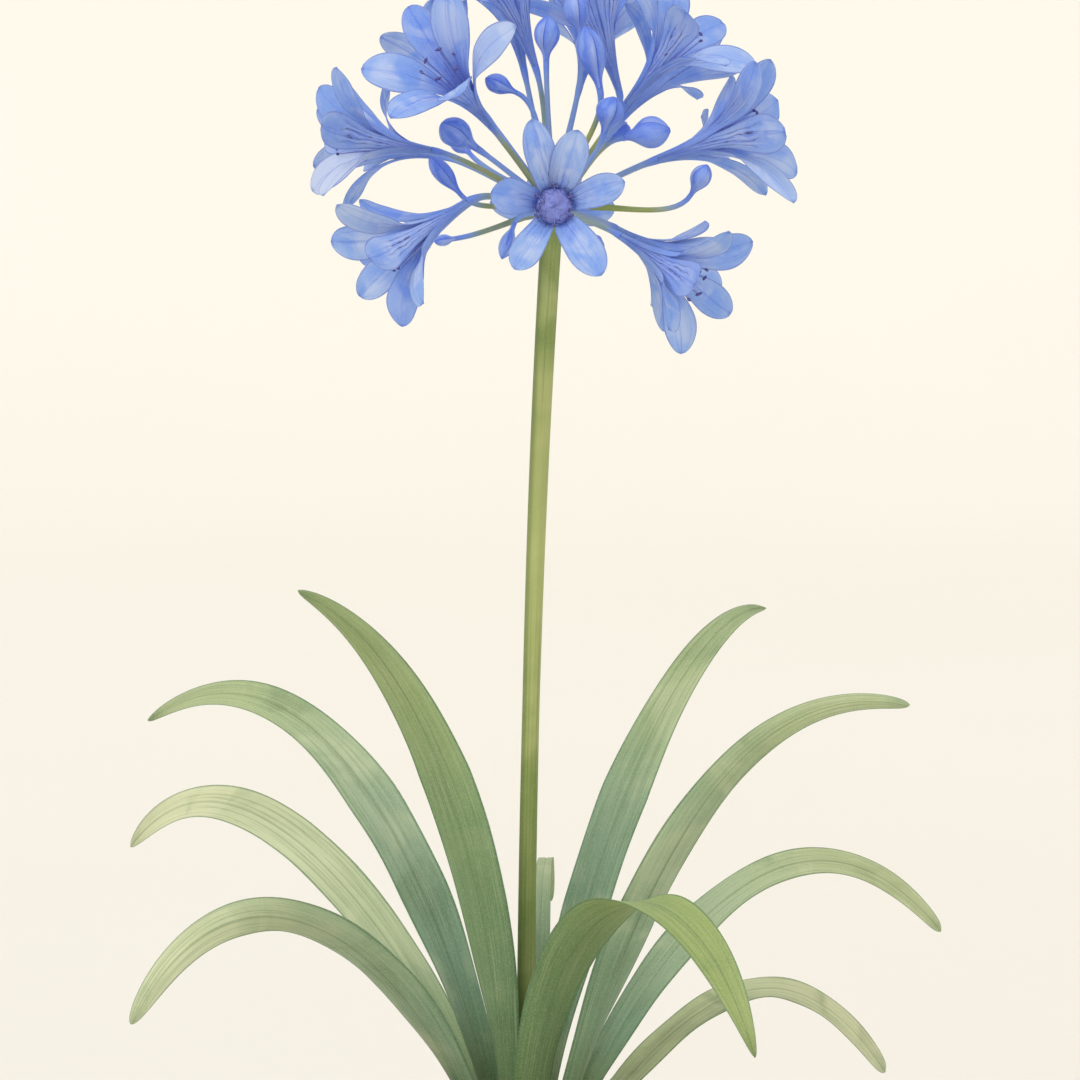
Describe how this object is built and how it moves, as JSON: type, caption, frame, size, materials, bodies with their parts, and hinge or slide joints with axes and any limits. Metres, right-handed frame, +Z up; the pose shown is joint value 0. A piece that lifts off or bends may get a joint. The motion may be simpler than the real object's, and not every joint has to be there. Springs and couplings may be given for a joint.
{
  "type": "potted agapanthus plant",
  "caption": "Flowering agapanthus with arching strap leaves and one tall stem topped by a round umbel of blue trumpet flowers and buds, growing in a plain clay pot.",
  "frame": {"origin": "centre of the pot's flat underside, where it stands on the surface", "axes": "+Z up along the pot's axis, -Y towards the side that the plant is looked at from, +X to the right from there"},
  "size_m": [0.3864, 0.3513, 0.684],
  "materials": {
    "terracotta": "unglazed clay, matt, faintly mottled",
    "soil": null,
    "leaf": null,
    "stalk": null,
    "tepal": null,
    "bud": null
  },
  "bodies": {
    "root": {"pot": "terracotta", "soil": "soil", "scape": "stalk", "leaf_left_tall": "leaf", "leaf_left_high": "leaf", "leaf_left_middle": "leaf", "leaf_left_low": "leaf", "leaf_front": "leaf", "leaf_right_tall": "leaf", "leaf_right_high": "leaf", "leaf_right_middle": "leaf", "leaf_right_low": "leaf", "leaf_back_tall": "leaf", "leaf_back_middle": "leaf", "leaf_back_low": "leaf", "flower_01": "tepal", "flower_02": "tepal", "flower_03": "tepal", "flower_04": "tepal", "flower_05": "tepal", "flower_06": "tepal", "flower_07": "tepal", "flower_08": "tepal", "flower_09": "tepal", "flower_10": "tepal", "flower_11": "tepal", "flower_12": "tepal", "flower_13": "tepal", "flower_14": "tepal", "flower_15": "tepal", "flower_16": "tepal", "flower_17": "tepal", "flower_18": "tepal", "bud_01": "bud", "bud_02": "bud", "bud_03": "bud", "bud_04": "bud", "bud_05": "bud", "bud_06": "bud", "bud_07": "bud", "bud_08": "bud", "bud_09": "bud", "bud_10": "bud", "bud_11": "bud", "bud_12": "bud", "bud_13": "bud", "bud_14": "bud", "bud_15": "bud"}
  },
  "joints": []
}
